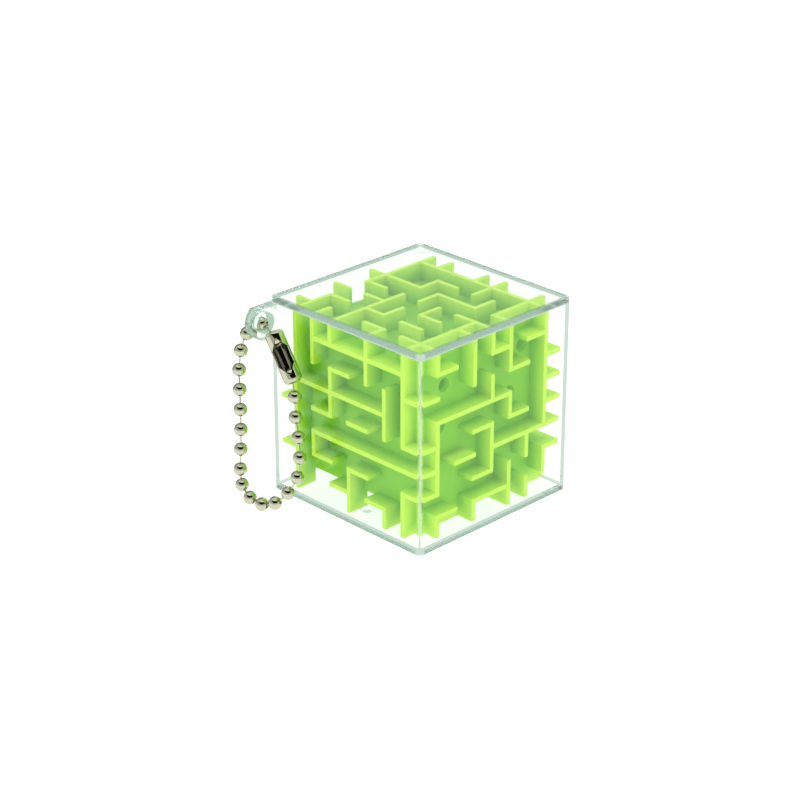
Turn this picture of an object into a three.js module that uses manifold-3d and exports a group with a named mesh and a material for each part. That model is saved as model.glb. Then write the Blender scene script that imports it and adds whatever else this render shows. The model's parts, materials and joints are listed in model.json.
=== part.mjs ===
// A small 3-D maze puzzle on a ball chain: a clear box with a hanging lug,
// a hollow maze block with walls on all six faces, a steel ball and the chain.
// Millimetres, +Z up. The origin is the middle of the box's underside.
import * as THREE from 'three';
import { mergeVertices } from 'three/addons/utils/BufferGeometryUtils.js';
import Module from 'manifold-3d';

const wasm = await Module();
wasm.setup();

// ---- clear box ----
const case_width = 36;
const case_height = 36;
const case_wall = 1;
const case_floor = 1;
const case_edge_radius = 1;
const lid_thickness = 1;
const seat_gap = 0.3;

// ---- hanging lug ----
const lug_thickness = 2;
const lug_radius = 3.05;
const lug_hole_radius = 1.8;
const lug_reach = 2.55;
const lug_drop = 2.4;

// ---- maze ----
const maze_clearance = 0.4;
const maze_pitch = 4.3;
const maze_wall = 0.85;
const maze_lid_clearance = 0.5;
const maze_lines = 7;
const core_skin = 1.2;
const ball_hole_diameter = 2.5;
const ball_diameter = 2;
const ball_rest_gap = 0.1;

// ---- chain ----
const bead_diameter = 2.4;
const bead_skin = 0.2;
const bead_hole_radius = 0.5;
const link_radius = 0.18;
const link_head_radius = 0.42;
const link_head_length = 0.17;
const link_grip = 0.5;
const chain_yaw = THREE.MathUtils.degToRad(15);
const floor_gap = 0.05;

// ---- chain connector ----
const connector_wall = 0.2;
const connector_bead_gap = 0.25;
const connector_end = 1.45;
const connector_taper = 0.8;
const connector_mouth_radius = 0.55;
const window_length = 6.6;
const window_width = 2.9;
const window_point = 1.9;
const window_turn = THREE.MathUtils.degToRad(-122);

// ---- how finely the round shapes are cut ----
const corner_steps = 8;
const lug_sides = 48;
const hole_sides = 40;
const ball_hole_sides = 20;
const ball_sides = 20;
const ball_rings = 12;
const bead_sides = 12;
const bead_rings = 6;
const bead_inner_rings = 4;
const link_sides = 8;
const connector_sides = 32;
const weld_distance = 1e-4;
const cut_margin = 1;

// Bead centres of the hanging loop: [along the loop's width, below the lug hole].
// The first two sit in the connector, the last one hangs in the lug's hole.
const bead_places = [
  [-3, 2.4], [-6.6, 7.9], [-7.65, 11.5], [-8.15, 14.95], [-9.05, 18.3], [-9.65, 21.75],
  [-9.5, 25.25], [-7.95, 28.4], [-5.55, 30.75], [-2.95, 31.6], [-0.45, 31], [1.35, 29.1],
  [1.95, 26.45], [2.2, 22.95], [2.5, 19.5], [2.9, 16.05], [3.35, 12.6], [3.8, 9.2], [3.75, 5.8],
  [2.8, 2.65], [0.1, 0.4],
];

// Middles of the four ball holes in the front skin: [x, z above the maze's middle].
const ball_holes = [[-8.3, 8.7], [10.3, 10.3], [-9.2, 1.5], [7.4, 2.4]];

// Maze plans. Walls stand on lines 1 to 7 of each face; 0 and 8 are the block's outer edges.
// 'across' runs follow the face's first axis, 'up' runs its second: [line, from, to].
const maze_plan = {
  left: {
    across: [[7, 1, 6], [6, 0, 1], [6, 4, 5], [5, 2, 7], [4, 0, 1], [4, 3, 4], [4, 5, 6], [4, 7, 8],
      [3, 0, 6], [2, 0, 1], [2, 3, 4], [2, 5, 6], [2, 7, 8], [1, 2, 3], [1, 4, 5]],
    up: [[1, 0, 2], [1, 4, 8], [2, 0, 1], [2, 4, 6], [3, 6, 8], [4, 0, 2], [5, 4, 6], [5, 7, 8],
      [6, 2, 3], [6, 6, 8], [7, 0, 8]],
  },
  front: {
    across: [[7, 1, 2], [7, 4, 5], [7, 6, 7], [6, 0, 1], [6, 5, 6], [6, 7, 8], [5, 1, 5], [5, 7, 8],
      [4, 0, 1], [4, 3, 4], [4, 5, 6], [4, 7, 8], [3, 0, 1], [3, 2, 3], [3, 4, 8], [2, 0, 1],
      [2, 3, 4], [2, 7, 8], [1, 1, 2], [1, 3, 5]],
    up: [[1, 0, 1], [1, 2, 5], [1, 7, 8], [3, 0, 1], [3, 6, 8], [4, 2, 4], [4, 5, 6], [4, 7, 8],
      [5, 0, 2], [5, 4, 5], [5, 6, 8], [6, 0, 1], [6, 2, 3], [7, 1, 2], [7, 3, 8]],
  },
  top: {
    across: [[7, 0, 2], [7, 4, 8], [6, 0, 1], [6, 7, 8], [5, 0, 4], [5, 5, 6], [4, 2, 3], [4, 4, 5],
      [4, 7, 8], [3, 0, 1], [3, 3, 4], [3, 6, 8], [2, 5, 6], [1, 0, 4], [1, 5, 8]],
    up: [[1, 0, 2], [1, 3, 4], [1, 7, 8], [2, 2, 3], [2, 4, 5], [2, 6, 7], [3, 0, 1], [3, 2, 3],
      [3, 5, 6], [3, 7, 8], [4, 0, 2], [4, 6, 7], [5, 0, 1], [5, 2, 4], [5, 5, 8], [6, 4, 5],
      [7, 0, 7]],
  },
  right: {
    across: [[7, 3, 5], [6, 0, 1], [6, 5, 6], [5, 0, 1], [5, 2, 4], [5, 6, 8], [4, 0, 2], [4, 4, 5],
      [3, 0, 1], [3, 2, 4], [3, 5, 7], [2, 0, 2], [2, 7, 8], [1, 2, 5]],
    up: [[1, 0, 1], [1, 7, 8], [2, 2, 3], [2, 5, 6], [3, 6, 8], [4, 0, 1], [4, 4, 5], [4, 7, 8],
      [5, 3, 4], [6, 1, 3], [6, 6, 8], [7, 3, 6], [7, 7, 8]],
  },
  rear: {
    across: [[7, 5, 7], [6, 1, 3], [5, 3, 5], [5, 6, 8], [4, 0, 2], [3, 2, 4], [3, 5, 7], [2, 0, 1],
      [2, 7, 8], [1, 1, 3], [1, 4, 6]],
    up: [[1, 7, 8], [2, 4, 5], [2, 1, 2], [3, 6, 8], [4, 3, 4], [4, 0, 1], [5, 7, 8], [5, 1, 3],
      [6, 5, 6], [7, 3, 4]],
  },
  base: {
    across: [[7, 0, 1], [7, 3, 5], [6, 2, 6], [5, 2, 6], [4, 0, 1], [3, 3, 5], [2, 0, 2], [1, 0, 3],
      [1, 6, 8]],
    up: [[1, 0, 1], [2, 5, 6], [2, 2, 3], [3, 0, 1], [4, 7, 8], [4, 3, 4], [5, 0, 2], [6, 0, 1],
      [6, 3, 4], [7, 2, 7]],
  },
};

// ---- values worked out from the sizes above ----
const half_case = case_width / 2;
const half_inside = half_case - case_wall;
const body_top = case_height - lid_thickness - seat_gap;
const half_maze = half_inside - maze_clearance;
const maze_foot = case_floor + seat_gap;
const half_maze_height = (case_height - lid_thickness - maze_lid_clearance - maze_foot) / 2;
const maze_middle = maze_foot + half_maze_height;
const middle_line = (maze_lines + 1) / 2;
const half_core = (maze_lines - 1) / 2 * maze_pitch + maze_wall / 2;
const half_hollow = half_core - core_skin;
const hole_middle = new THREE.Vector3(
  -half_case - lug_reach,
  half_case - lug_thickness / 2,
  body_top - lug_drop,
);
const bead_radius = bead_diameter / 2;
const connector_radius = bead_radius + connector_bead_gap + connector_wall;
const loop_depth = Math.max(...bead_places.map((place) => place[1]));
const chain_lean = Math.max(lean_onto_floor(), ...bead_places.map(lean_clear_of_box));

// The loop leans out from the box until its lowest bead rests beside the box's foot.
// A loop too short to reach that level hangs free.
function lean_onto_floor() {
  const drop = hole_middle.z - bead_radius - floor_gap;
  return drop < loop_depth ? Math.acos(drop / loop_depth) : 0;
}

// The least lean that keeps one bead, or the connector round it, off the box's side.
function lean_clear_of_box([across, below]) {
  const reach_in = -across * Math.sin(chain_yaw) - lug_reach + connector_radius + seat_gap;
  return reach_in > 0 ? Math.asin(reach_in / (below * Math.cos(chain_yaw))) : 0;
}

// ---- finishes ----
function finish(color, roughness, metalness, opacity = 1) {
  return new THREE.MeshStandardMaterial({
    color, roughness, metalness, opacity, transparent: opacity < 1,
  });
}
const clear_plastic = () => finish(0xd9ebe2, 0.08, 0, 0.3);
const lime_plastic = () => finish(0x9bd63c, 0.35, 0);
const steel = () => finish(0xc9cacb, 0.15, 1);
const nickel = () => finish(0xc2c0ba, 0.22, 1);

// ---- solids ----
function to_solid(geometry) {
  const bare = geometry.index ? geometry.toNonIndexed() : geometry.clone();
  bare.deleteAttribute('normal');
  bare.deleteAttribute('uv');
  const merged = mergeVertices(bare, weld_distance);
  const corners = merged.index.array;
  const kept = [];
  for (let i = 0; i < corners.length; i += 3) {
    const [a, b, c] = [corners[i], corners[i + 1], corners[i + 2]];
    if (a !== b && b !== c && c !== a) {
      kept.push(a, b, c);
    }
  }
  return new wasm.Manifold(new wasm.Mesh({
    numProp: 3,
    vertProperties: new Float32Array(merged.attributes.position.array),
    triVerts: new Uint32Array(kept),
  }));
}

function to_geometry(solid) {
  const mesh = solid.getMesh();
  const geometry = new THREE.BufferGeometry();
  geometry.setAttribute('position', new THREE.BufferAttribute(mesh.vertProperties, 3));
  geometry.setIndex(new THREE.BufferAttribute(mesh.triVerts, 1));
  geometry.computeVertexNormals();
  return geometry;
}

function box(low, high) {
  const size = high.map((value, axis) => value - low[axis]);
  const middle = high.map((value, axis) => (value + low[axis]) / 2);
  return to_solid(new THREE.BoxGeometry(...size).translate(...middle));
}

function rounded_block(half, radius, bottom, top) {
  const outline = new THREE.Shape();
  const inner = half - radius;
  outline.absarc(inner, -inner, radius, -Math.PI / 2, 0);
  outline.absarc(inner, inner, radius, 0, Math.PI / 2);
  outline.absarc(-inner, inner, radius, Math.PI / 2, Math.PI);
  outline.absarc(-inner, -inner, radius, Math.PI, Math.PI * 1.5);
  const settings = { depth: top - bottom, bevelEnabled: false, curveSegments: corner_steps };
  return to_solid(new THREE.ExtrudeGeometry(outline, settings).translate(0, 0, bottom));
}

function named_mesh(name, geometry, material) {
  const mesh = new THREE.Mesh(geometry, material);
  mesh.name = name;
  return mesh;
}

// A cylinder along Y with its middle at the given point.
function cylinder_along_y(radius, length, middle, sides) {
  const geometry = new THREE.CylinderGeometry(radius, radius, length, sides);
  return to_solid(geometry.translate(middle.x, middle.y, middle.z));
}

// ---- clear box: an open tub with the lug, and the lid over it ----
function make_case_body() {
  const outside = rounded_block(half_case, case_edge_radius, 0, body_top);
  const inside = box(
    [-half_inside, -half_inside, case_floor],
    [half_inside, half_inside, body_top + cut_margin],
  );
  const disc = cylinder_along_y(lug_radius, lug_thickness, hole_middle, lug_sides);
  const neck = box(
    [hole_middle.x, half_case - lug_thickness, hole_middle.z - lug_radius],
    [-half_case + Math.max(case_edge_radius, case_wall), half_case, body_top],
  );
  const above = box(
    [-case_width, 0, body_top],
    [0, case_width, body_top + 2 * lug_radius],
  );
  const hole_length = lug_thickness + 2 * cut_margin;
  const hole = cylinder_along_y(lug_hole_radius, hole_length, hole_middle, hole_sides);
  const lug = disc.add(neck).subtract(above).subtract(inside).subtract(hole);
  return named_mesh('case_body', to_geometry(outside.subtract(inside).add(lug)), clear_plastic());
}

function make_case_lid() {
  const plate = rounded_block(half_case, case_edge_radius, case_height - lid_thickness, case_height);
  return named_mesh('case_lid', to_geometry(plate), clear_plastic());
}

// ---- maze ----
function line_place(line, half_outer) {
  return THREE.MathUtils.clamp((line - middle_line) * maze_pitch, -half_outer, half_outer);
}

function run_span(from, to, half_outer) {
  const low = Math.max(line_place(from, half_outer) - maze_wall / 2, -half_outer);
  const high = Math.min(line_place(to, half_outer) + maze_wall / 2, half_outer);
  return [low, high];
}

// axes: the face's two directions and the direction it faces; side: +1 or -1 along that.
function face_walls(plan, axes, side) {
  const [first, second, facing] = axes;
  const outer = [half_maze, half_maze, half_maze_height];
  const root = half_core - core_skin / 2;
  const solids = [];
  const add_wall = (along, beside, [line, from, to]) => {
    const low = [0, 0, 0];
    const high = [0, 0, 0];
    [low[along], high[along]] = run_span(from, to, outer[along]);
    const place = line_place(line, outer[beside]);
    low[beside] = place - maze_wall / 2;
    high[beside] = place + maze_wall / 2;
    low[facing] = side > 0 ? root : -outer[facing];
    high[facing] = side > 0 ? outer[facing] : -root;
    solids.push(box(low, high));
  };
  plan.across.forEach((run) => add_wall(first, second, run));
  plan.up.forEach((run) => add_wall(second, first, run));
  return solids;
}

function whole_maze() {
  const [x, y, z] = [0, 1, 2];
  const core = box([-half_core, -half_core, -half_core], [half_core, half_core, half_core]);
  const walls = [
    ...face_walls(maze_plan.left, [y, z, x], -1),
    ...face_walls(maze_plan.right, [y, z, x], 1),
    ...face_walls(maze_plan.front, [x, z, y], -1),
    ...face_walls(maze_plan.rear, [x, z, y], 1),
    ...face_walls(maze_plan.top, [x, y, z], 1),
    ...face_walls(maze_plan.base, [x, y, z], -1),
  ];
  let maze = walls.reduce((sum, wall) => sum.add(wall), core);
  for (const [across, up] of ball_holes) {
    const middle = new THREE.Vector3(across, -half_core, up);
    const length = 2 * (core_skin + cut_margin);
    maze = maze.subtract(cylinder_along_y(ball_hole_diameter / 2, length, middle, ball_hole_sides));
  }
  return maze;
}

// The maze is moulded in two: a hollow block open at the rear, and the rear plate that closes it.
function make_maze() {
  const maze = whole_maze();
  const far = case_width;
  const block_end = half_hollow - seat_gap / 2;
  const block_space = box([-far, -far, -far], [far, block_end, far]);
  const plate_space = box([-far, block_end + seat_gap, -far], [far, far, far]);
  const hollow = box(
    [-half_hollow, -half_hollow, -half_hollow],
    [half_hollow, half_core, half_hollow],
  );
  const block = maze.intersect(block_space).subtract(hollow);
  const plate = maze.intersect(plate_space);
  const meshes = [
    named_mesh('maze_block', to_geometry(block), lime_plastic()),
    named_mesh('maze_rear_plate', to_geometry(plate), lime_plastic()),
  ];
  meshes.forEach((mesh) => mesh.position.set(0, 0, maze_middle));
  return meshes;
}

// The ball lies on the box's floor, at the closed end of a straight corridor of the base maze.
function make_ball() {
  const radius = ball_diameter / 2;
  const geometry = to_geometry(sphere_solid(radius, ball_sides, ball_rings));
  const mesh = named_mesh('maze_ball', geometry, steel());
  const corridor_x = line_place(2, half_maze) + maze_wall / 2 + radius + ball_rest_gap;
  const corridor_y = (line_place(5, half_maze) + line_place(6, half_maze)) / 2;
  mesh.position.set(corridor_x, corridor_y, case_floor + radius + ball_rest_gap);
  return mesh;
}

function sphere_solid(radius, sides, rings) {
  const profile = [];
  for (let ring = 0; ring <= rings; ring += 1) {
    const angle = -Math.PI / 2 + Math.PI * ring / rings;
    profile.push(new THREE.Vector2(Math.max(0, radius * Math.cos(angle)), radius * Math.sin(angle)));
  }
  return to_solid(new THREE.LatheGeometry(profile, sides));
}

// ---- chain ----
// The loop hangs in its own frame: Y across the loop, Z up, origin at the lug hole's middle.
function bead_centre(place) {
  return new THREE.Vector3(0, place[0], -place[1]);
}

// One bead: a thin hollow ball with a hole at each end of its axis.
function bead_geometry() {
  const outer_end = Math.asin(bead_hole_radius / bead_radius);
  const inner_radius = bead_radius - bead_skin;
  const inner_end = Math.asin(bead_hole_radius / inner_radius);
  const profile = [];
  const add_arc = (radius, start, end, steps) => {
    for (let step = 0; step <= steps; step += 1) {
      const angle = start + (end - start) * step / steps;
      profile.push(new THREE.Vector2(radius * Math.sin(angle), -radius * Math.cos(angle)));
    }
  };
  add_arc(bead_radius, outer_end, Math.PI - outer_end, bead_rings);
  add_arc(inner_radius, Math.PI - inner_end, inner_end, bead_inner_rings);
  profile.push(profile[0].clone());
  return to_geometry(to_solid(new THREE.LatheGeometry(profile, bead_sides)));
}

// One link: a thin rod with a flat head at each end, held inside its two beads.
function link_geometry(length) {
  const half = length / 2;
  const profile = [
    [0, -half], [link_head_radius, -half], [link_head_radius, -half + link_head_length],
    [link_radius, -half + link_head_length], [link_radius, half - link_head_length],
    [link_head_radius, half - link_head_length], [link_head_radius, half], [0, half],
  ].map(([radius, height]) => new THREE.Vector2(radius, height));
  return to_geometry(to_solid(new THREE.LatheGeometry(profile, link_sides)));
}

function aim(mesh, middle, direction) {
  mesh.position.copy(middle);
  mesh.quaternion.setFromUnitVectors(new THREE.Vector3(0, 1, 0), direction);
}

function two_digits(number) {
  return String(number).padStart(2, '0');
}

// A bead's axis halves the angle between its two neighbours' directions.
function bead_axes(centres) {
  const count = centres.length;
  return centres.map((centre, index) => {
    const before = centres[(index + count - 1) % count];
    const after = centres[(index + 1) % count];
    const arriving = centre.clone().sub(before).normalize();
    const leaving = after.clone().sub(centre).normalize();
    return arriving.add(leaving).normalize();
  });
}

function make_links(centres, axes) {
  const wall_middle = bead_radius - bead_skin / 2;
  const links = [];
  for (let index = 1; index < centres.length; index += 1) {
    const next = (index + 1) % centres.length;
    const straight = centres[next].clone().sub(centres[index]).normalize();
    const leaving = axes[index].clone().add(straight).normalize();
    const arriving = axes[next].clone().add(straight).normalize();
    const start = centres[index].clone().addScaledVector(leaving, wall_middle);
    const end = centres[next].clone().addScaledVector(arriving, -wall_middle);
    const direction = end.clone().sub(start).normalize();
    const length = start.distanceTo(end) + 2 * link_grip;
    const link = named_mesh(`chain_link_${two_digits(index)}`, link_geometry(length), nickel());
    aim(link, start.add(end).multiplyScalar(0.5), direction);
    links.push(link);
  }
  return links;
}

// The connector: a rolled sleeve that narrows at both ends, with a six-sided window.
function make_connector(first, second) {
  const span = first.distanceTo(second);
  const half = span / 2 + connector_end;
  const outer = connector_radius;
  const inner = outer - connector_wall;
  const shoulder = half - connector_taper;
  const profile = [
    [connector_mouth_radius, -half], [connector_mouth_radius + connector_wall, -half],
    [outer, -shoulder], [outer, shoulder], [connector_mouth_radius + connector_wall, half],
    [connector_mouth_radius, half], [inner, shoulder], [inner, -shoulder],
    [connector_mouth_radius, -half],
  ].map(([radius, height]) => new THREE.Vector2(radius, height));
  const sleeve = to_solid(new THREE.LatheGeometry(profile, connector_sides));
  const window_outline = new THREE.Shape([
    [0, -window_length / 2], [window_width / 2, -window_length / 2 + window_point],
    [window_width / 2, window_length / 2 - window_point], [0, window_length / 2],
    [-window_width / 2, window_length / 2 - window_point],
    [-window_width / 2, -window_length / 2 + window_point],
  ].map(([across, along]) => new THREE.Vector2(across, along)));
  const settings = { depth: outer * 2, bevelEnabled: false };
  const cutter = new THREE.ExtrudeGeometry(window_outline, settings).rotateY(window_turn);
  const connector = named_mesh(
    'chain_connector',
    to_geometry(sleeve.subtract(to_solid(cutter))),
    nickel(),
  );
  const direction = second.clone().sub(first).normalize();
  aim(connector, first.clone().add(second).multiplyScalar(0.5), direction);
  return connector;
}

function make_chain() {
  const chain = new THREE.Group();
  chain.position.copy(hole_middle);
  chain.rotation.order = 'ZYX';
  chain.rotation.set(0, chain_lean, chain_yaw);
  const centres = bead_places.map(bead_centre);
  const axes = bead_axes(centres);
  centres.forEach((centre, index) => {
    const bead = named_mesh(`chain_bead_${two_digits(index + 1)}`, bead_geometry(), nickel());
    aim(bead, centre, axes[index]);
    chain.add(bead);
  });
  chain.add(...make_links(centres, axes));
  chain.add(make_connector(centres[0], centres[1]));
  return chain;
}

const puzzle = new THREE.Group();
puzzle.add(make_case_body(), make_case_lid(), ...make_maze(), make_ball(), make_chain());

export default puzzle;
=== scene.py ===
"""Looks for a small clear-box maze puzzle on a ball chain, laid out as an add-on and run as a script."""
import json
import math

import bmesh
import bpy
from bpy.props import FloatProperty, FloatVectorProperty, IntProperty, PointerProperty
from mathutils import Matrix, Vector


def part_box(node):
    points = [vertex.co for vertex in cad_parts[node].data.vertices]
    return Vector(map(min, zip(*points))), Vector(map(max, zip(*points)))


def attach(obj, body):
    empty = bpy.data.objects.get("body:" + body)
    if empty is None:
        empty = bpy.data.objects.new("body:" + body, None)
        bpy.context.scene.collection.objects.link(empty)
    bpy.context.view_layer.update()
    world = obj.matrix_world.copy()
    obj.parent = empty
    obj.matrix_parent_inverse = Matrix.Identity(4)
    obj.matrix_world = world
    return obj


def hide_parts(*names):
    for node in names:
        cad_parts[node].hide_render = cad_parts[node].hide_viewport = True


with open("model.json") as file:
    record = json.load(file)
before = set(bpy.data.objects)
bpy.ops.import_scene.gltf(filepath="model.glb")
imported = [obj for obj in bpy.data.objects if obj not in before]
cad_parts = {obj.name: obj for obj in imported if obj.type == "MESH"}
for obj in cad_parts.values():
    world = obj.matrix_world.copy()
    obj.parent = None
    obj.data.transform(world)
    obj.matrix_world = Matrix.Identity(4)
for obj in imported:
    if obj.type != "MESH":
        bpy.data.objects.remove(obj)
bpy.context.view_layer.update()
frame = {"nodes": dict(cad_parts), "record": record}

bl_info = {
    "name": "Maze Ball Puzzle",
    "version": (1, 0, 0),
    "blender": (4, 5, 0),
    "location": "View3D > Sidebar > Maze Puzzle",
    "description": "Builds the visual pieces of a clear-box maze puzzle on a ball chain",
    "category": "Add Mesh",
}

MM = 0.001
BEAD_COUNT = 21
LINK_COUNT = 20
GATE_MARKS = ((15.3 * MM, 14.5 * MM, 36.0 * MM), (-13.1 * MM, -0.9 * MM, 1.0 * MM))
GATE_RADIUS = 1.1 * MM
GATE_FAINTNESS = 0.4
LUG_RADIUS = 3.05 * MM
LUG_HOLE_RADIUS = 1.8 * MM
LUG_THICKNESS = 2.0 * MM
LUG_DROP = 2.4 * MM
WELD_DISTANCE = 0.002 * MM


# ------------------------------------------------------------------ settings

class ClearBoxSettings(bpy.types.PropertyGroup):
    """Sizes and colours of the clear box and its lid."""
    edge_round: FloatProperty(
        name="Edge rounding", description="Radius of the box's moulded edges",
        default=0.22 * MM, min=0.02 * MM, max=0.45 * MM, unit="LENGTH", precision=5)
    seam: FloatProperty(
        name="Lid seam", description="Width of the hairline joint under the lid",
        default=0.03 * MM, min=0.01 * MM, max=0.2 * MM, unit="LENGTH", precision=5)
    # The band of painted edge shade is this wide.
    edge_band: FloatProperty(
        name="Edge band", description="Width of the tinted band along the box's edges",
        default=1.1 * MM, min=0.1 * MM, unit="LENGTH", precision=5)
    edge_straight: FloatProperty(
        name="Edge calm", description="Share of light that passes the box's edges without bending",
        default=0.45, min=0.0, max=1.0)
    edge_blur: FloatProperty(
        name="Edge blur", description="Extra roughness along the box's moulded edges",
        default=0.1, min=0.0, max=1.0)
    face_colour: FloatVectorProperty(
        name="Face colour", description="Colour of light straight through a face",
        default=(0.94, 0.97, 0.94), subtype="COLOR", min=0.0, max=1.0)
    # Painted shade: darker grey-green along the box's edges and lug rims; the faint gate rings use it
    # too.
    edge_shade_and_gate_colour: FloatVectorProperty(
        name="Edge colour", description="Colour of light through the box's edges",
        default=(0.50, 0.63, 0.55), subtype="COLOR", min=0.0, max=1.0)
    tint: FloatVectorProperty(
        name="Edge tint", description="Colour the plastic takes where it is seen edge on",
        default=(0.30, 0.62, 0.47), subtype="COLOR", min=0.0, max=1.0)
    tint_density: FloatProperty(
        name="Tint density", description="How fast the tint builds up along the plastic",
        default=14.0, min=0.0, max=200.0)
    roughness: FloatProperty(
        name="Roughness", description="Gloss of the polished plastic", default=0.03, min=0.0, max=1.0)
    trapped_depth: FloatProperty(
        name="Trapped depth", description="Bounces after which light in the plastic turns to a pale glow",
        default=3.5, min=1.0)
    trapped_depth_at_edges: FloatProperty(
        name="Trapped depth at edges", description="The same along the box's edges",
        default=1.5, min=1.0)
    # Painted light: the emission colour that stands in for light trapped in the plastic.
    trapped_colour: FloatVectorProperty(
        name="Trapped colour", description="Colour of that pale glow",
        default=(0.68, 0.79, 0.72), subtype="COLOR", min=0.0, max=1.0)


class MazeSettings(bpy.types.PropertyGroup):
    """Sizes and colours of the moulded maze."""
    tip_round: FloatProperty(
        name="Tip rounding", description="Radius of the maze walls' rounded tips",
        default=0.24 * MM, min=0.02 * MM, max=0.4 * MM, unit="LENGTH", precision=5)
    # Partly thicker plastic, partly painted shade: the darker green deep between the walls.
    thick_and_shaded_floor_colour: FloatVectorProperty(
        name="Floor colour", description="Colour deep between the walls",
        default=(0.235, 0.61, 0.008), subtype="COLOR", min=0.0, max=1.0)
    # Partly thinner plastic, partly painted light: the paler colour at the wall tips.
    thin_and_lit_tip_colour: FloatVectorProperty(
        name="Tip colour", description="Colour of the thin wall tips",
        default=(0.55, 0.82, 0.05), subtype="COLOR", min=0.0, max=1.0)
    # Painted light: the hollow core glows in the floor colour.
    painted_core_glow: FloatProperty(
        name="Inner glow", description="Light that the thin skin lets into the hollow core",
        default=0.2, min=0.0)
    glow: FloatProperty(
        name="Translucency", description="Share of light that scatters inside the plastic",
        default=0.35, min=0.0, max=1.0)
    roughness: FloatProperty(
        name="Roughness", description="Gloss of the moulded plastic", default=0.42, min=0.0, max=1.0)


class ChainSettings(bpy.types.PropertyGroup):
    """Sizes and finish of the ball chain and its connector."""
    bead_steps: IntProperty(
        name="Bead steps", description="Faces round each bead", default=40, min=12, max=96)
    nickel_colour: FloatVectorProperty(
        name="Nickel colour", description="Colour of the plated metal",
        default=(0.78, 0.79, 0.58), subtype="COLOR", min=0.0, max=1.0)
    nickel_roughness: FloatProperty(
        name="Nickel roughness", description="Gloss of the plating", default=0.03, min=0.0, max=1.0)


class StageSettings(bpy.types.PropertyGroup):
    """Camera, floor and light."""
    azimuth: FloatProperty(
        name="Azimuth", description="Camera direction round the puzzle",
        default=math.radians(-44.574), subtype="ANGLE")
    elevation: FloatProperty(
        name="Elevation", description="Camera height angle",
        default=math.radians(24.654), subtype="ANGLE")
    distance: FloatProperty(
        name="Distance", description="Camera distance from the aim point",
        default=402.17 * MM, unit="LENGTH")
    focal_length: FloatProperty(
        name="Focal length", description="Lens length in millimetres", default=105.7)
    aim_right: FloatProperty(
        name="Aim right", description="Aim point, across from the box's middle",
        default=-3.43 * MM, unit="LENGTH", precision=5)
    aim_up: FloatProperty(
        name="Aim up", description="Aim point, up from the box's middle",
        default=-1.14 * MM, unit="LENGTH", precision=5)
    light: FloatProperty(
        name="Light", description="Strength of the white studio", default=1.35, min=0.0)
    floor_glow: FloatProperty(
        name="Floor glow", description="Share of the floor's light that no shadow takes away",
        default=0.8, min=0.0, max=1.0)
    floor_in_metal: FloatProperty(
        name="Floor in reflections", description="Brightness of the floor as polished parts mirror it",
        default=0.9, min=0.0, max=1.0)
    overhead: FloatProperty(
        name="Overhead in reflections", description="Brightness of the ceiling in mirrors",
        default=0.75, min=0.0)
    world_in_metal: FloatProperty(
        name="Room in reflections", description="Brightness of the room as polished parts mirror it",
        default=0.46, min=0.0)
    far_side: FloatProperty(
        name="Far side in reflections", description="Brightness of the room behind the puzzle in mirrors",
        default=0.22, min=0.0)
    floor_size: FloatProperty(
        name="Floor size", description="Side of the pale floor", default=8.0, unit="LENGTH")


# ------------------------------------------------------------------ mesh helpers

def cad_copy(node):
    """A merged copy of a CAD node's mesh, with its flat areas joined into single faces."""
    shape = bmesh.new()
    shape.from_mesh(frame["nodes"][node].data)
    bmesh.ops.remove_doubles(shape, verts=shape.verts, dist=WELD_DISTANCE)
    bmesh.ops.dissolve_limit(
        shape, angle_limit=math.radians(1.0), verts=shape.verts, edges=shape.edges,
        use_dissolve_boundaries=False, delimit={"NORMAL"})
    return shape


def round_edges(shape, radius, segments, least_angle=60.0, convex_only=True):
    """Rounds every edge that turns by more than the least angle, in degrees."""
    turn = math.radians(least_angle)
    chosen = [
        edge for edge in shape.edges
        if len(edge.link_faces) == 2 and edge.calc_face_angle(0.0) > turn
        and (edge.is_convex or not convex_only)]
    bmesh.ops.bevel(
        shape, geom=chosen, offset=radius, offset_type="OFFSET", segments=segments,
        profile=0.5, affect="EDGES", clamp_overlap=True, material=-1, miter_outer="ARC")


def spun(profile, steps, closed=True):
    """A solid of revolution about Z from a list of (radius, height) points."""
    shape = bmesh.new()
    corners = [shape.verts.new((radius, 0.0, height)) for radius, height in profile]
    edges = [shape.edges.new(pair) for pair in zip(corners, corners[1:])]
    if closed:
        edges.append(shape.edges.new((corners[-1], corners[0])))
    bmesh.ops.spin(
        shape, geom=corners + edges, axis=(0.0, 0.0, 1.0), cent=(0.0, 0.0, 0.0),
        angle=math.tau, steps=steps, use_merge=True, use_duplicate=False)
    bmesh.ops.remove_doubles(shape, verts=shape.verts, dist=0.0005 * MM)
    bmesh.ops.recalc_face_normals(shape, faces=shape.faces)
    return shape


def place(shape, middle, direction, turn=0.0):
    """Turns a shape's Z onto a direction and moves it to its middle."""
    aim = direction.to_track_quat("Z", "Y").to_matrix().to_4x4()
    matrix = Matrix.Translation(middle) @ aim @ Matrix.Rotation(turn, 4, "Z")
    bmesh.ops.transform(shape, matrix=matrix, verts=shape.verts)


def finish_piece(name, shape, material, body, nodes, sharp_angle=35.0):
    """Makes the object of a finished shape, ties it to its body and hides the CAD nodes it replaces."""
    mesh = bpy.data.meshes.new(name)
    shape.normal_update()
    shape.to_mesh(mesh)
    shape.free()
    mesh.materials.append(material)
    mesh.shade_smooth()
    mesh.set_sharp_from_angle(angle=math.radians(sharp_angle))
    piece = bpy.data.objects.new(name, mesh)
    bpy.context.scene.collection.objects.link(piece)
    flatten = piece.modifiers.new("Flat faces stay flat", "WEIGHTED_NORMAL")
    flatten.keep_sharp = True
    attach(piece, body)
    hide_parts(*nodes)
    return piece


# ------------------------------------------------------------------ node helpers

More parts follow.
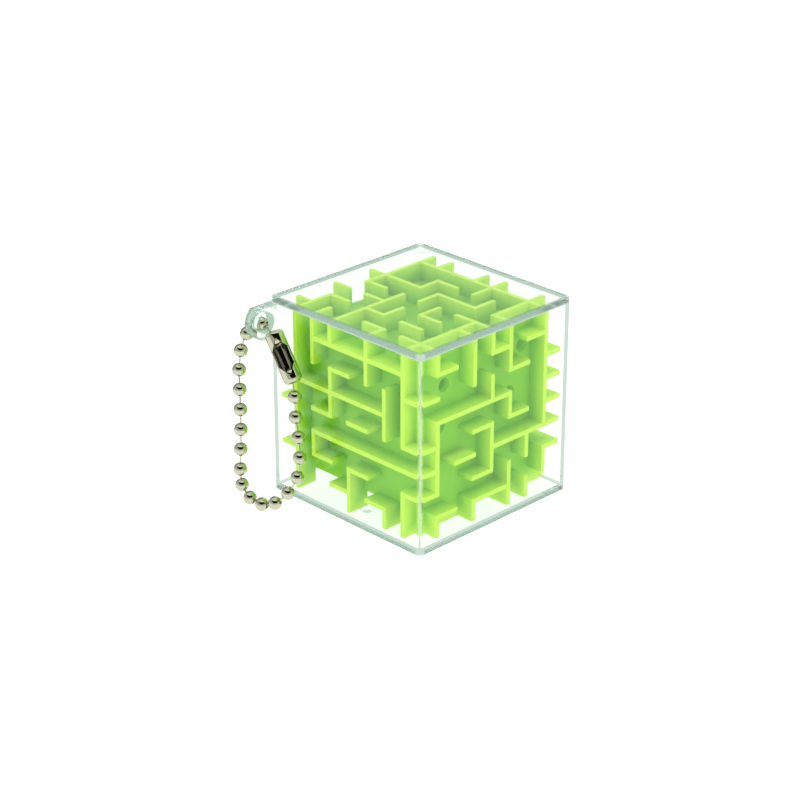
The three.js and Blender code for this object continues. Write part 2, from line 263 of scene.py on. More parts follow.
def node_of(tree, kind, **values):
    """Adds a node and sets its input sockets by name."""
    node = tree.nodes.new(kind)
    for key, value in values.items():
        socket = key.replace("_", " ")
        if socket in node.inputs:
            node.inputs[socket].default_value = value
        else:
            setattr(node, key, value)
    return node


def new_group(name, inputs, outputs):
    """A shader node group with its sockets and its two end nodes."""
    tree = bpy.data.node_groups.new(name, "ShaderNodeTree")
    for label, kind, value in inputs:
        socket = tree.interface.new_socket(name=label, in_out="INPUT", socket_type=kind)
        socket.default_value = value
    for label, kind in outputs:
        tree.interface.new_socket(name=label, in_out="OUTPUT", socket_type=kind)
    return tree, tree.nodes.new("NodeGroupInput"), tree.nodes.new("NodeGroupOutput")


def math_node(tree, operation, first, second=None):
    """A maths node fed by sockets or numbers."""
    node = tree.nodes.new("ShaderNodeMath")
    node.operation = operation
    for socket, value in zip(node.inputs, (first, second)):
        if isinstance(value, bpy.types.NodeSocket):
            tree.links.new(value, socket)
        elif value is not None:
            socket.default_value = value
    return node.outputs["Value"]


def mirror_ray(tree):
    """1 for a ray that left a polished surface by reflection."""
    path = tree.nodes.new("ShaderNodeLightPath")
    passed = math_node(tree, "SUBTRACT", 1.0, path.outputs["Is Transmission Ray"])
    return math_node(tree, "MULTIPLY", path.outputs["Is Glossy Ray"], passed)


def moulding_marks_group():
    """Fine unevenness of moulded plastic: a soft colour mask and a small height."""
    tree, start, end = new_group(
        "Moulding Marks",
        [("Scale", "NodeSocketFloat", 300.0), ("Depth", "NodeSocketFloat", 0.00002)],
        [("Mask", "NodeSocketFloat"), ("Height", "NodeSocketFloat")])
    coords = tree.nodes.new("ShaderNodeTexCoord")
    broad = node_of(tree, "ShaderNodeTexNoise", Detail=2.0, Roughness=0.5)
    fine = node_of(tree, "ShaderNodeTexNoise", Detail=3.0, Roughness=0.6)
    tree.links.new(coords.outputs["Object"], broad.inputs["Vector"])
    tree.links.new(coords.outputs["Object"], fine.inputs["Vector"])
    tree.links.new(start.outputs["Scale"], broad.inputs["Scale"])
    tree.links.new(math_node(tree, "MULTIPLY", start.outputs["Scale"], 9.0), fine.inputs["Scale"])
    height = math_node(tree, "MULTIPLY", fine.outputs["Fac"], start.outputs["Depth"])
    tree.links.new(broad.outputs["Fac"], end.inputs["Mask"])
    tree.links.new(height, end.inputs["Height"])
    return tree


def scuff_group():
    """Sparse hairline scratches for polished surfaces."""
    tree, start, end = new_group(
        "Hairline Scuffs",
        [("Scale", "NodeSocketFloat", 900.0), ("Amount", "NodeSocketFloat", 0.5)],
        [("Mask", "NodeSocketFloat")])
    coords = tree.nodes.new("ShaderNodeTexCoord")
    stretch = tree.nodes.new("ShaderNodeMapping")
    stretch.inputs["Rotation"].default_value = (0.5, 0.8, 0.3)
    stretch.inputs["Scale"].default_value = (1.0, 0.08, 0.35)
    streaks = node_of(tree, "ShaderNodeTexNoise", Detail=4.0, Roughness=0.7)
    patches = node_of(tree, "ShaderNodeTexNoise", Detail=1.0, Scale=180.0)
    tree.links.new(coords.outputs["Object"], stretch.inputs["Vector"])
    tree.links.new(stretch.outputs["Vector"], streaks.inputs["Vector"])
    tree.links.new(coords.outputs["Object"], patches.inputs["Vector"])
    tree.links.new(start.outputs["Scale"], streaks.inputs["Scale"])
    lines = math_node(tree, "GREATER_THAN", streaks.outputs["Fac"], 0.64)
    spread = math_node(tree, "MULTIPLY", lines, patches.outputs["Fac"])
    tree.links.new(math_node(tree, "MULTIPLY", spread, start.outputs["Amount"]), end.inputs["Mask"])
    return tree


def shared_group(name, maker):
    """The named node group, made the first time it is asked for."""
    return bpy.data.node_groups.get(name) or maker()


def use_group(tree, group, **values):
    """Places a shared group in a material with its own values."""
    node = tree.nodes.new("ShaderNodeGroup")
    node.node_tree = group
    for label, value in values.items():
        node.inputs[label].default_value = value
    return node


def new_material(name):
    """An empty node material, its Principled BSDF and its tree."""
    material = bpy.data.materials.new(name)
    material.use_nodes = True
    tree = material.node_tree
    return material, tree, tree.nodes["Principled BSDF"]


def add_bump(tree, shader, height, strength, distance):
    """Feeds a height into the shader's normal."""
    bump = node_of(tree, "ShaderNodeBump", Strength=strength, Distance=distance)
    tree.links.new(height, bump.inputs["Height"])
    tree.links.new(bump.outputs["Normal"], shader.inputs["Normal"])


# ------------------------------------------------------------------ materials

def two_colours(tree, factor, first, second):
    """A colour that goes from the first to the second with a factor; each is a socket or a colour."""
    mix = tree.nodes.new("ShaderNodeMix")
    mix.data_type = "RGBA"
    colour_in = [socket for socket in mix.inputs if socket.type == "RGBA"]
    for socket, colour in zip(colour_in, (first, second)):
        if isinstance(colour, bpy.types.NodeSocket):
            tree.links.new(colour, socket)
        else:
            socket.default_value = (*colour, 1.0)
    tree.links.new(factor, mix.inputs["Factor"])
    return [socket for socket in mix.outputs if socket.type == "RGBA"][0]


def two_values(tree, factor, first, second):
    """A number that goes from the first to the second with a factor."""
    mix = tree.nodes.new("ShaderNodeMix")
    for socket, value in zip((mix.inputs[0], mix.inputs[2], mix.inputs[3]), (factor, first, second)):
        if isinstance(value, bpy.types.NodeSocket):
            tree.links.new(value, socket)
        else:
            socket.default_value = value
    return mix.outputs[0]


def away_from(tree, middle):
    """The three distances from the middle of a box, along its axes."""
    coords = tree.nodes.new("ShaderNodeTexCoord")
    centred = tree.nodes.new("ShaderNodeVectorMath")
    centred.operation = "SUBTRACT"
    centred.inputs[1].default_value = middle
    away = tree.nodes.new("ShaderNodeVectorMath")
    away.operation = "ABSOLUTE"
    axes = tree.nodes.new("ShaderNodeSeparateXYZ")
    tree.links.new(coords.outputs["Object"], centred.inputs[0])
    tree.links.new(centred.outputs["Vector"], away.inputs[0])
    tree.links.new(away.outputs["Vector"], axes.inputs["Vector"])
    return axes.outputs["X"], axes.outputs["Y"], axes.outputs["Z"]


def ramp(tree, value, low, high):
    """A smooth mask from 0 at the low value to 1 at the high one."""
    node = node_of(tree, "ShaderNodeMapRange")
    node.interpolation_type = "SMOOTHSTEP"
    node.inputs["From Min"].default_value = low
    node.inputs["From Max"].default_value = high
    tree.links.new(value, node.inputs["Value"])
    return node.outputs["Result"]


def squared(tree, value):
    """A socket's value times itself."""
    return math_node(tree, "MULTIPLY", value, value)


def distance(tree, *parts):
    """The length of a way given by its parts along two or three axes."""
    total = squared(tree, parts[0])
    for part in parts[1:]:
        total = math_node(tree, "ADD", total, squared(tree, part))
    return math_node(tree, "SQRT", total)


def box_edge_mask(tree, middle, half, band_width):
    """Painted shade mask: 1 along the edges of a cube, where two distances are large; upright edges keep
    a clear core.
    """
    full = half - band_width / 2
    x, y, z = away_from(tree, middle)
    least = math_node(tree, "MINIMUM", x, y)
    most = math_node(tree, "MAXIMUM", x, y)
    second = math_node(tree, "MAXIMUM", least, math_node(tree, "MINIMUM", most, z))
    core = ramp(tree, least, full - 0.55 * MM, full - 0.4 * MM)
    band = ramp(tree, second, half - band_width, full)
    return math_node(tree, "MULTIPLY", band, math_node(tree, "SUBTRACT", 1.0, core))


def lug_ring_mask(tree, hole, half):
    """Painted shade mask: 1 at the lug's outer rim and round its hole, outside the box's side."""
    x, _, z = away_from(tree, hole)
    coords = tree.nodes.new("ShaderNodeTexCoord")
    axes = tree.nodes.new("ShaderNodeSeparateXYZ")
    tree.links.new(coords.outputs["Object"], axes.inputs["Vector"])
    outside = ramp(tree, axes.outputs["X"], -half, -half - 0.1 * MM)
    reach = distance(tree, x, z)
    rim = ramp(tree, reach, LUG_RADIUS - 0.45 * MM, LUG_RADIUS - 0.05 * MM)
    bore = ramp(tree, reach, LUG_HOLE_RADIUS + 0.4 * MM, LUG_HOLE_RADIUS + 0.05 * MM)
    return math_node(tree, "MULTIPLY", outside, math_node(tree, "MAXIMUM", rim, bore))


def gate_ring_mask(tree, place):
    """A faint ring where the mould's gate met the plastic."""
    reach = distance(tree, *away_from(tree, place))
    off_ring = math_node(tree, "ABSOLUTE", math_node(tree, "SUBTRACT", reach, GATE_RADIUS))
    return ramp(tree, off_ring, 0.22 * MM, 0.06 * MM)


def clear_plastic(settings, middle, half, hole):
    """Polished clear plastic that turns grey-green where light runs along it; that edge and lug-rim
    colour is painted shade.
    """
    material, tree, shader = new_material("polished_clear")
    # Painted shade along the box's edges and round the lug's rim and hole.
    painted_edge_shade = math_node(
        tree, "MAXIMUM", box_edge_mask(tree, middle, half, settings.edge_band),
        lug_ring_mask(tree, hole, half))
    gates = math_node(tree, "ADD", *[gate_ring_mask(tree, place) for place in GATE_MARKS])
    edges = math_node(tree, "MAXIMUM", painted_edge_shade, math_node(tree, "MULTIPLY", gates, GATE_FAINTNESS))
    # Base colour and clear colour: painted edge shade, plus the faint gate rings.
    tree.links.new(
        two_colours(tree, edges, settings.face_colour, settings.edge_shade_and_gate_colour),
        shader.inputs["Base Color"])
    shader.inputs["Transmission Weight"].default_value = 1.0
    shader.inputs["IOR"].default_value = 1.38
    scuffs = use_group(tree, shared_group("Hairline Scuffs", scuff_group), Scale=700.0, Amount=0.12)
    rough = math_node(tree, "ADD", scuffs.outputs["Mask"], settings.roughness)
    blurred = math_node(tree, "MULTIPLY", edges, settings.edge_blur)
    tree.links.new(math_node(tree, "ADD", rough, blurred), shader.inputs["Roughness"])
    path = tree.nodes.new("ShaderNodeLightPath")
    least_depth = two_values(
        tree, edges, settings.trapped_depth, settings.trapped_depth_at_edges)
    trapped = math_node(tree, "GREATER_THAN", path.outputs["Ray Depth"], least_depth)
    # Painted light: a pale emission replaces light that has bounced too often inside the plastic.
    pale = node_of(
        tree, "ShaderNodeEmission", Color=(*settings.trapped_colour, 1.0), Strength=1.0)
    inner = tree.nodes.new("ShaderNodeMixShader")
    tree.links.new(trapped, inner.inputs["Fac"])
    tree.links.new(shader.outputs["BSDF"], inner.inputs[1])
    tree.links.new(pale.outputs["Emission"], inner.inputs[2])
    straight = math_node(tree, "MULTIPLY", edges, settings.edge_straight)
    soft_light = math_node(
        tree, "MAXIMUM", path.outputs["Is Shadow Ray"], path.outputs["Is Diffuse Ray"])
    clear = tree.nodes.new("ShaderNodeBsdfTransparent")
    tree.links.new(
        two_colours(tree, edges, settings.face_colour, settings.edge_shade_and_gate_colour), clear.inputs["Color"])
    mix = tree.nodes.new("ShaderNodeMixShader")
    output = tree.nodes["Material Output"]
    tree.links.new(math_node(tree, "MAXIMUM", soft_light, straight), mix.inputs["Fac"])
    tree.links.new(inner.outputs["Shader"], mix.inputs[1])
    tree.links.new(clear.outputs["BSDF"], mix.inputs[2])
    tree.links.new(mix.outputs["Shader"], output.inputs["Surface"])
    absorb = tree.nodes.new("ShaderNodeVolumeAbsorption")
    absorb.inputs["Color"].default_value = (*settings.tint, 1.0)
    absorb.inputs["Density"].default_value = settings.tint_density
    tree.links.new(absorb.outputs["Volume"], output.inputs["Volume"])
    return material


def lime_plastic(settings, middle, core_half, tip_half):
    """Translucent lime plastic, paler at the thin wall tips than deep between the walls; partly the
    plastic's thickness, partly painted light at the tips and painted shade between the walls.
    """
    material, tree, shader = new_material("lime_moulding")
    x, y, z = away_from(tree, (0.0, 0.0, middle))
    reach = math_node(tree, "MAXIMUM", math_node(tree, "MAXIMUM", x, y), z)
    # Mask from painted shade deep between the walls to painted light at the tips.
    depth = ramp(tree, reach, core_half, tip_half)
    inside = ramp(tree, reach, core_half, core_half - 0.5 * MM)
    # Painted light: an emission glow in the hollow core.
    glow = two_colours(tree, inside, (0.0, 0.0, 0.0), settings.thick_and_shaded_floor_colour)
    tree.links.new(glow, shader.inputs["Emission Color"])
    shader.inputs["Emission Strength"].default_value = settings.painted_core_glow
    marks = use_group(
        tree, shared_group("Moulding Marks", moulding_marks_group), Scale=220.0, Depth=0.00001)
    drift = math_node(tree, "MULTIPLY", math_node(tree, "SUBTRACT", marks.outputs["Mask"], 0.5), 0.35)
    colour = two_colours(
        tree, math_node(tree, "ADD", depth, drift), settings.thick_and_shaded_floor_colour, settings.thin_and_lit_tip_colour)
    tree.links.new(colour, shader.inputs["Base Color"])
    shader.inputs["Roughness"].default_value = settings.roughness
    shader.inputs["Specular IOR Level"].default_value = 0.25
    shader.inputs["Subsurface Weight"].default_value = settings.glow
    shader.inputs["Subsurface Radius"].default_value = (0.8, 1.0, 0.25)
    shader.inputs["Subsurface Scale"].default_value = 1.2 * MM
    add_bump(tree, shader, marks.outputs["Height"], 0.3, 1.0)
    return material


def polished_metal(name, colour, roughness):
    """Plated or ground metal with faint hairlines."""
    material, tree, shader = new_material(name)
    shader.inputs["Metallic"].default_value = 1.0
    scuffs = use_group(tree, shared_group("Hairline Scuffs", scuff_group), Scale=1500.0, Amount=0.1)
    marks = use_group(
        tree, shared_group("Moulding Marks", moulding_marks_group), Scale=500.0, Depth=0.000004)
    rough = math_node(tree, "ADD", scuffs.outputs["Mask"], roughness)
    tree.links.new(rough, shader.inputs["Roughness"])
    shade = two_colours(
        tree, marks.outputs["Mask"], tuple(part * 0.9 for part in colour), colour)
    tree.links.new(shade, shader.inputs["Base Color"])
    add_bump(tree, shader, marks.outputs["Height"], 0.25, 1.0)
    return material


def nickel_plate(settings):
    """The chain's bright plating, made once."""
    ready = bpy.data.materials.get("bright_nickel")
    return ready or polished_metal(
        "bright_nickel", tuple(settings.nickel_colour), settings.nickel_roughness)


# ------------------------------------------------------------------ chain places

def middle_of(node):
    """The middle of a CAD node's box."""
    low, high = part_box(node)
    return (low + high) / 2


def bead_name(number):
    """The CAD name of a bead, counted from the connector."""
    return f"chain_bead_{number:02d}"


def link_name(number):
    """The CAD name of a link, counted from the connector."""
    return f"chain_link_{number:02d}"


def body_with(node):
    """The CAD body that holds a node."""
    bodies = frame["record"]["behaviour"]["bodies"]
    return next(body for body, nodes in bodies.items() if node in nodes)


def bead_frames():
    """Each bead's middle and axis; the axis halves the angle between its neighbours."""
    middles = [middle_of(bead_name(number + 1)) for number in range(BEAD_COUNT)]
    frames = []
    for index, middle in enumerate(middles):
        before = (middle - middles[index - 1]).normalized()
        after = (middles[(index + 1) % BEAD_COUNT] - middle).normalized()
        frames.append((middle, (before + after).normalized()))
    return frames


# ------------------------------------------------------------------ operators

class PUZZLE_OT_make_stage(bpy.types.Operator):
    """Set up the camera, the pale floor and the white studio light"""
    bl_idname = "puzzle.make_stage"
    bl_label = "Stage"

    floor_drop = 0.02 * MM
    beyond_puzzle = 0.1
    window_half_width = 0.80
    window_middle = 0.60
    window_half_height = 0.25
    window_darkness = 0.99

    def execute(self, context):
        settings = context.scene.puzzle_stage
        self.add_camera(context, settings)
        self.add_floor(settings)
        self.add_light(context, settings)
        context.scene.view_settings.view_transform = "Standard"
        return {"FINISHED"}

    @staticmethod
    def add_camera(context, settings):
        """A long lens at the usual three-quarter view."""
        azimuth, elevation = settings.azimuth, settings.elevation
        right = Vector((math.cos(azimuth), math.sin(azimuth), 0.0))
        back = Vector((
            math.sin(azimuth) * math.cos(elevation),
            -math.cos(azimuth) * math.cos(elevation),
            math.sin(elevation)))
        up = back.cross(right)
        low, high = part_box("case_lid")
        middle = Vector(((low.x + high.x) / 2, (low.y + high.y) / 2, high.z / 2))
        aim = middle + right * settings.aim_right + up * settings.aim_up
        lens = bpy.data.cameras.new("camera")
        lens.lens = settings.focal_length
        lens.clip_start = 0.01
        lens.clip_end = 50.0
        camera = bpy.data.objects.new("camera", lens)
        camera.location = aim + back * settings.distance
        camera.rotation_euler = (-back).to_track_quat("-Z", "Y").to_euler()
        context.scene.collection.objects.link(camera)
        context.scene.camera = camera

    def add_floor(self, settings):
        """A wide pale floor just under the puzzle."""
        shape = bmesh.new()
        bmesh.ops.create_grid(shape, x_segments=1, y_segments=1, size=settings.floor_size / 2)
        bmesh.ops.translate(shape, verts=shape.verts, vec=(0.0, 0.0, -self.floor_drop))
        mesh = bpy.data.meshes.new("floor")
        shape.to_mesh(mesh)
        shape.free()
        material, tree, shader = new_material("floor_white")
        shader.inputs["Base Color"].default_value = (0.93, 0.93, 0.93, 1.0)
        shader.inputs["Roughness"].default_value = 0.8
        glow = node_of(tree, "ShaderNodeEmission", Color=(1.0, 1.0, 1.0, 1.0))
        coords = tree.nodes.new("ShaderNodeTexCoord")
        turn = tree.nodes.new("ShaderNodeMapping")
        turn.inputs["Rotation"].default_value = (0.0, 0.0, -settings.azimuth)
        axes = tree.nodes.new("ShaderNodeSeparateXYZ")
        tree.links.new(coords.outputs["Object"], turn.inputs["Vector"])
        tree.links.new(turn.outputs["Vector"], axes.inputs["Vector"])
        beyond = ramp(tree, axes.outputs["Y"], 0.0, self.beyond_puzzle)
        mirrored = two_values(tree, beyond, settings.floor_in_metal, settings.far_side)
        level = two_values(tree, mirror_ray(tree), settings.light, mirrored)
        tree.links.new(level, glow.inputs["Strength"])
        share = tree.nodes.new("ShaderNodeMixShader")
        glow_share = two_values(tree, mirror_ray(tree), settings.floor_glow, 1.0)
        tree.links.new(glow_share, share.inputs["Fac"])
        tree.links.new(shader.outputs["BSDF"], share.inputs[1])
        tree.links.new(glow.outputs["Emission"], share.inputs[2])
        tree.links.new(share.outputs["Shader"], tree.nodes["Material Output"].inputs["Surface"])
        mesh.materials.append(material)
        floor = bpy.data.objects.new("floor", mesh)
        bpy.context.scene.collection.objects.link(floor)

    def add_light(self, context, settings):
        """White all round; polished parts mirror a greyer room with a dark window."""
        world = bpy.data.worlds.new("studio")
        context.scene.world = world
        world.use_nodes = True
        tree = world.node_tree
        background = tree.nodes["Background"]
        background.inputs["Color"].default_value = (1.0, 1.0, 1.0, 1.0)
        coords = tree.nodes.new("ShaderNodeTexCoord")
        turn = tree.nodes.new("ShaderNodeMapping")
        turn.vector_type = "POINT"
        turn.inputs["Rotation"].default_value = (0.0, 0.0, -settings.azimuth)
        axes = tree.nodes.new("ShaderNodeSeparateXYZ")
        tree.links.new(coords.outputs["Generated"], turn.inputs["Vector"])
        tree.links.new(turn.outputs["Vector"], axes.inputs["Vector"])
        dark = self.dark_window(tree, axes)
        behind = ramp(tree, axes.outputs["Y"], 0.25, 0.8)
        overhead = ramp(tree, axes.outputs["Z"], 0.45, 0.95)
        near_room = two_values(tree, overhead, settings.world_in_metal, settings.overhead)
        room = two_values(tree, behind, near_room, settings.far_side)
        darkened = math_node(tree, "MULTIPLY", dark, self.window_darkness)
        mirrored = math_node(
            tree, "MULTIPLY", room, math_node(tree, "SUBTRACT", 1.0, darkened))
        level = two_values(tree, mirror_ray(tree), settings.light, mirrored)
        tree.links.new(level, background.inputs["Strength"])

    def dark_window(self, tree, axes):
        """1 in an oval window high behind the viewer, seen only as polished metal mirrors it."""
        side = math_node(tree, "DIVIDE", axes.outputs["X"], self.window_half_width)
        rise = math_node(tree, "SUBTRACT", axes.outputs["Z"], self.window_middle)
        height = math_node(tree, "DIVIDE", rise, self.window_half_height)
        oval = math_node(tree, "ADD", squared(tree, side), squared(tree, height))
        facing = math_node(tree, "LESS_THAN", axes.outputs["Y"], 0.0)
        return math_node(tree, "MULTIPLY", ramp(tree, oval, 1.15, 0.85), facing)


class PUZZLE_OT_make_clear_box(bpy.types.Operator):
    """Make the clear box with its lug, and the lid"""
    bl_idname = "puzzle.make_clear_box"
    bl_label = "Clear box"

    def execute(self, context):
        settings = context.scene.puzzle_box
        lid_low, lid_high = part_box("case_lid")
        body_low, body_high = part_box("case_body")
        half = lid_high.x
        hole = (body_low.x + LUG_RADIUS, half - LUG_THICKNESS / 2, body_high.z - LUG_DROP)
        plastic = clear_plastic(settings, (0.0, 0.0, lid_high.z / 2), half, hole)
        body = cad_copy("case_body")
        rim = [corner for corner in body.verts if corner.co.z > body_high.z - 0.01 * MM]
        bmesh.ops.translate(
            body, verts=rim, vec=(0.0, 0.0, lid_low.z - settings.seam - body_high.z))
        round_edges(body, settings.edge_round, 3, 50.0, convex_only=False)
        finish_piece(
            "clear_box", body, plastic, "case", ["case_body"], 30.0)
        lid = cad_copy("case_lid")
        round_edges(lid, settings.edge_round, 3, 50.0)
        finish_piece("clear_lid", lid, plastic, "case", ["case_lid"], 30.0)
        return {"FINISHED"}


class PUZZLE_OT_make_maze(bpy.types.Operator):
    """Make the lime maze block and its rear plate"""
    bl_idname = "puzzle.make_maze"
    bl_label = "Maze"

    wall_depth = 3.28 * MM
    seam = 0.03 * MM

    def execute(self, context):
        settings = context.scene.puzzle_maze
        low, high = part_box("maze_block")
        plate_low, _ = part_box("maze_rear_plate")
        tip_half = (high.x - low.x) / 2
        plastic = lime_plastic(
            settings, (low.z + high.z) / 2, tip_half - self.wall_depth, tip_half)
        block = cad_copy("maze_block")
        round_edges(block, settings.tip_round, 2)
        finish_piece("maze_block_green", block, plastic, "case", ["maze_block"])
        plate = cad_copy("maze_rear_plate")
        seat = [corner for corner in plate.verts if corner.co.y < plate_low.y + 0.01 * MM]
        bmesh.ops.translate(
            plate, verts=seat, vec=(0.0, high.y + self.seam - plate_low.y, 0.0))
        round_edges(plate, settings.tip_round, 2)
        finish_piece(
            "maze_plate_green", plate, plastic, "case", ["maze_rear_plate"])
        return {"FINISHED"}


class PUZZLE_OT_make_ball(bpy.types.Operator):
    """Make the steel ball"""
    bl_idname = "puzzle.make_ball"
    bl_label = "Ball"

    def execute(self, context):
        low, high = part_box("maze_ball")
        ball = bmesh.new()
        bmesh.ops.create_icosphere(ball, subdivisions=5, radius=(high.z - low.z) / 2)
        bmesh.ops.translate(ball, verts=ball.verts, vec=(low + high) / 2)
        steel = polished_metal("polished_steel", (0.74, 0.75, 0.76), 0.06)
        finish_piece("steel_ball", ball, steel, "ball", ["maze_ball"], 90.0)
        return {"FINISHED"}


class PUZZLE_OT_make_chain(bpy.types.Operator):
    """Make the hollow beads and the links between them"""
    bl_idname = "puzzle.make_chain"
    bl_label = "Ball chain"

    bead_radius = 1.2 * MM
    bead_skin = 0.2 * MM
    hole_radius = 0.46 * MM
    lip = 0.07 * MM
    lip_depth = 0.05 * MM
    lip_inset = 0.55
    outer_rows = 18
    inner_rows = 10
    rod_radius = 0.16 * MM
    head_radius = 0.36 * MM
    head_flat = 0.75
    head_round = 0.05 * MM
    head_length = 0.14 * MM
    neck_length = 0.2 * MM
    link_steps = 20
    grip = 0.5 * MM

    def execute(self, context):
        settings = context.scene.puzzle_chain
        nickel = nickel_plate(settings)
        frames = bead_frames()
        for index, (middle, axis) in enumerate(frames):
            node = bead_name(index + 1)
            bead = self.bead_shape(settings.bead_steps)
            place(bead, middle, axis)
            finish_piece(
                f"bead_{index + 1:02d}", bead, nickel, body_with(node), [node])
        for index in range(1, LINK_COUNT + 1):
            node = link_name(index)
            link = self.link_shape(frames[index], frames[(index + 1) % BEAD_COUNT])
            finish_piece(
                f"link_{index:02d}", link, nickel, body_with(node), [node])
        return {"FINISHED"}

    def bead_shape(self, steps):
        """A thin hollow ball, its skin turned in round the hole at each end."""
        outer, inner = self.bead_radius, self.bead_radius - self.bead_skin
        outer_end = math.asin((self.hole_radius + self.lip) / outer)
        inner_end = math.asin((self.hole_radius + self.lip) / inner)
        profile = []
        for step in range(self.outer_rows + 1):
            angle = outer_end + (math.pi - 2 * outer_end) * step / self.outer_rows
            profile.append((outer * math.sin(angle), -outer * math.cos(angle)))
        hole_top = inner * math.cos(inner_end) + self.bead_skin * self.lip_inset
        profile.append((self.hole_radius, hole_top))
        profile.append((self.hole_radius, hole_top - self.lip_depth))
        for step in range(self.inner_rows + 1):
            angle = math.pi - inner_end - (math.pi - 2 * inner_end) * step / self.inner_rows
            profile.append((inner * math.sin(angle), -inner * math.cos(angle)))
        profile.append((self.hole_radius, -hole_top + self.lip_depth))
        profile.append((self.hole_radius, -hole_top))
        return spun(profile, steps)

    def link_shape(self, first, second):
        """A rod with a flat-ended head inside each of its two beads."""
        skin_middle = self.bead_radius - self.bead_skin / 2
        straight = (second[0] - first[0]).normalized()
        start = first[0] + (first[1] + straight).normalized() * skin_middle
        end = second[0] - (second[1] + straight).normalized() * skin_middle
        half = (end - start).length / 2 + self.grip
        rod, head = self.rod_radius, self.head_radius
        dome = [
            (0.0, half),
            (head * self.head_flat, half),
            (head, half - self.head_round),
            (head, half - self.head_length),
            (rod, half - self.neck_length),
        ]
        profile = [(radius, -height) for radius, height in dome] + dome[::-1]
        link = spun(profile, self.link_steps, closed=False)
        place(link, (start + end) / 2, (end - start).normalized())
        return link


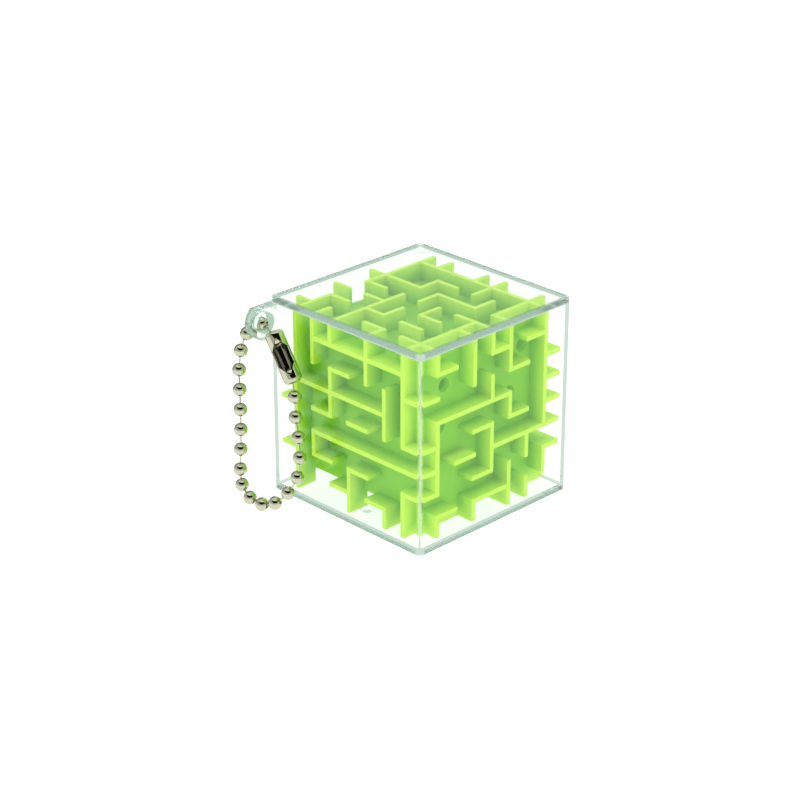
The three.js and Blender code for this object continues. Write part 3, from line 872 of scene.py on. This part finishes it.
class PUZZLE_OT_make_connector(bpy.types.Operator):
    """Make the rolled sleeve that joins the chain's two ends"""
    bl_idname = "puzzle.make_connector"
    bl_label = "Connector"

    outer = 1.65 * MM
    skin = 0.2 * MM
    mouth = 0.66 * MM
    end_past_bead = 1.45 * MM
    curl = 0.8 * MM
    window_half = 3.3 * MM
    window_half_width = 1.45 * MM
    window_point = 1.9 * MM
    rim_round = 0.05 * MM
    bore_stripes = 44.0
    columns = 56

    def execute(self, context):
        settings = context.scene.puzzle_chain
        first, second = middle_of(bead_name(1)), middle_of(bead_name(2))
        half = (second - first).length / 2 + self.end_past_bead
        sleeve = self.sheet(half)
        bmesh.ops.recalc_face_normals(sleeve, faces=sleeve.faces)
        bmesh.ops.solidify(sleeve, geom=sleeve.faces, thickness=self.skin)
        bmesh.ops.recalc_face_normals(sleeve, faces=sleeve.faces)
        rim = [edge for edge in sleeve.edges if edge.calc_face_angle(0.0) > math.radians(60.0)]
        bmesh.ops.bevel(
            sleeve, geom=rim, offset=self.rim_round, offset_type="OFFSET", segments=2,
            profile=0.5, affect="EDGES", clamp_overlap=True, material=-1)
        self.mark_inside(sleeve)
        direction = (second - first).normalized()
        place(sleeve, (first + second) / 2, direction, self.turn_to_window(direction))
        finish_piece(
            "connector_sleeve", sleeve, self.sleeve_nickel(settings),
            body_with("chain_connector"), ["chain_connector"], 40.0)
        return {"FINISHED"}

    def mark_inside(self, shape):
        """Stores which corners lie on the bore, and the angle of each round the axis."""
        inside = shape.verts.layers.float.new("inside")
        around = shape.verts.layers.float.new("around")
        shape.normal_update()
        for corner in shape.verts:
            outward = Vector((corner.co.x, corner.co.y, 0.0)).normalized()
            corner[inside] = 1.0 if corner.normal.dot(outward) < -0.2 else 0.0
            corner[around] = math.atan2(corner.co.y, corner.co.x)

    def sleeve_nickel(self, settings):
        """Nickel outside; the drawn bore has painted shade, dark and finely striped."""
        material = polished_metal(
            "sleeve_nickel", tuple(settings.nickel_colour), settings.nickel_roughness)
        tree = material.node_tree
        shader = tree.nodes["Principled BSDF"]
        plate = shader.inputs["Base Color"].links[0].from_socket
        around = tree.nodes.new("ShaderNodeAttribute")
        around.attribute_name = "around"
        inside = tree.nodes.new("ShaderNodeAttribute")
        inside.attribute_name = "inside"
        wave = math_node(
            tree, "SINE", math_node(tree, "MULTIPLY", around.outputs["Fac"], self.bore_stripes))
        # Painted shade in the bore: stripes between dark and pale nickel.
        bore = two_colours(
            tree, ramp(tree, wave, -0.2, 0.9), (0.22, 0.215, 0.19), (0.75, 0.73, 0.62))
        finish = two_colours(tree, inside.outputs["Fac"], plate, bore)
        tree.links.new(finish, shader.inputs["Base Color"])
        return material

    def turn_to_window(self, direction):
        """The turn about the sleeve's axis that brings the window to the CAD window's side."""
        shape = bmesh.new()
        shape.from_mesh(frame["nodes"]["chain_connector"].data)
        area = sum(face.calc_area() for face in shape.faces)
        weighted = sum(
            (face.calc_center_median() * face.calc_area() for face in shape.faces), Vector())
        shape.free()
        first, second = middle_of(bead_name(1)), middle_of(bead_name(2))
        away = (first + second) / 2 - weighted / area
        away -= direction * away.dot(direction)
        across = direction.to_track_quat("Z", "Y") @ Vector((1.0, 0.0, 0.0))
        return math.atan2(direction.dot(across.cross(away)), across.dot(away))

    def window_width(self, along):
        """Half the window's width at a place along the sleeve."""
        reach = self.window_half - abs(along)
        if reach <= 0.0:
            return 0.0
        return self.window_half_width * min(1.0, reach / self.window_point)

    def radius(self, along, half):
        """The sleeve's outer radius, curled in at both ends."""
        into_curl = max(0.0, abs(along) - (half - self.curl)) / self.curl
        return self.mouth + (self.outer - self.mouth) * math.sqrt(max(0.0, 1.0 - into_curl ** 2))

    def sheet(self, half):
        """The sleeve's outside as one sheet, open at the window and at both mouths."""
        shoulder = half - self.curl
        square = self.window_half - self.window_point
        steps = [shoulder + self.curl * math.sin(math.pi / 2 * step / 7) for step in range(1, 8)]
        steps += [shoulder, (shoulder + self.window_half) / 2]
        steps += [self.window_half - self.window_point * step / 8 for step in range(9)]
        steps += [square * step / 4 for step in range(4)]
        rows = sorted({round(sign * step, 9) for step in steps for sign in (-1.0, 1.0)})
        shape = bmesh.new()
        grid = []
        for along in rows:
            radius = self.radius(along, half)
            opening = math.asin(min(0.999, self.window_width(along) / radius))
            ring = []
            for column in range(self.columns + 1):
                angle = opening + (math.tau - 2 * opening) * column / self.columns
                ring.append(shape.verts.new((
                    radius * math.cos(angle), radius * math.sin(angle), along)))
            grid.append(ring)
        for low, high in zip(grid, grid[1:]):
            for column in range(self.columns):
                shape.faces.new((low[column], low[column + 1], high[column + 1], high[column]))
        bmesh.ops.remove_doubles(shape, verts=shape.verts, dist=WELD_DISTANCE)
        return shape


class PUZZLE_PT_panel(bpy.types.Panel):
    """Lists the puzzle's pieces and their sizes"""
    bl_label = "Maze Puzzle"
    bl_space_type = "VIEW_3D"
    bl_region_type = "UI"
    bl_category = "Maze Puzzle"

    def draw(self, context):
        for operator in OPERATORS:
            self.layout.operator(operator.bl_idname)
        for name, _ in SETTINGS:
            group = getattr(context.scene, name)
            for key in group.bl_rna.properties.keys():
                if key not in {"rna_type", "name"}:
                    self.layout.prop(group, key)


OPERATORS = (
    PUZZLE_OT_make_stage,
    PUZZLE_OT_make_clear_box,
    PUZZLE_OT_make_maze,
    PUZZLE_OT_make_ball,
    PUZZLE_OT_make_chain,
    PUZZLE_OT_make_connector,
)
SETTINGS = (
    ("puzzle_box", ClearBoxSettings),
    ("puzzle_maze", MazeSettings),
    ("puzzle_chain", ChainSettings),
    ("puzzle_stage", StageSettings),
)


def register():
    for name, group in SETTINGS:
        bpy.utils.register_class(group)
        setattr(bpy.types.Scene, name, PointerProperty(type=group))
    for operator in OPERATORS:
        bpy.utils.register_class(operator)
    bpy.utils.register_class(PUZZLE_PT_panel)


def unregister():
    bpy.utils.unregister_class(PUZZLE_PT_panel)
    for operator in reversed(OPERATORS):
        bpy.utils.unregister_class(operator)
    for name, group in reversed(SETTINGS):
        delattr(bpy.types.Scene, name)
        bpy.utils.unregister_class(group)


def main():
    register()
    bpy.ops.puzzle.make_stage()
    bpy.ops.puzzle.make_clear_box()
    bpy.ops.puzzle.make_maze()
    bpy.ops.puzzle.make_ball()
    bpy.ops.puzzle.make_chain()
    bpy.ops.puzzle.make_connector()


if __name__ == "__main__":
    main()
